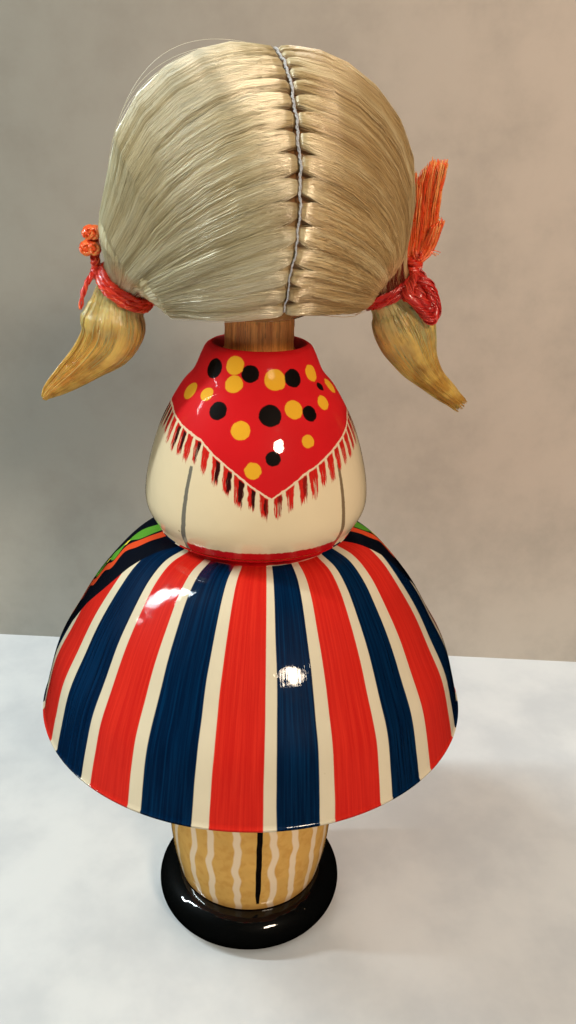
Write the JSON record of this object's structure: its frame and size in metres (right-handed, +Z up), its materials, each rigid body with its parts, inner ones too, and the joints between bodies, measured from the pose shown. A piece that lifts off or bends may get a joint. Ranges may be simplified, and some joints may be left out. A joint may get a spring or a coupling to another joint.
{
  "type": "wooden doll",
  "caption": "Turned wooden folk doll with a bell skirt on a column of legs, a round head on a dowel neck, a sewn fibre wig and tied bunches; the head turns.",
  "frame": {"origin": "centre of the flat underside of the base disc", "axes": "+Z up along the turned axis; the doll faces -Y, so its own left side is +X"},
  "size_m": [0.0846, 0.0846, 0.1741],
  "materials": {
    "black_lacquer": "high gloss black lacquer",
    "stocking_paint": "ochre gloss paint with wavy pale stripes",
    "skirt_paint": "high gloss lacquer, striped red, cream and dark blue",
    "blouse_paint": "high gloss cream lacquer with a red dotted kerchief",
    "bare_wood": "bare turned wood",
    "face_paint": "satin painted face on turned wood",
    "flaxen_hair": "silky combed fibre",
    "sewing_thread": "matt thread",
    "stiffened_hair": "fibre stiffened with glossy size",
    "tie_yarn": "soft twisted floss"
  },
  "bodies": {
    "body": {"base_disc": "black_lacquer", "leg_column": "stocking_paint", "skirt_bell": "skirt_paint", "waist_dowel": "bare_wood", "torso": "blouse_paint"},
    "head": {"neck_dowel": "bare_wood", "head_ball": "face_paint", "wig": "flaxen_hair", "parting_thread": "sewing_thread", "pigtail_left": "stiffened_hair", "pigtail_right": "stiffened_hair", "hair_tie_left": "tie_yarn", "hair_tie_right": "tie_yarn"}
  },
  "joints": [
    {"name": "head_turn", "type": "hinge", "parent": "body", "child": "head", "pos_m": [0, 0, 0.1263], "axis": [0, 0, 1], "continuous": true}
  ]
}
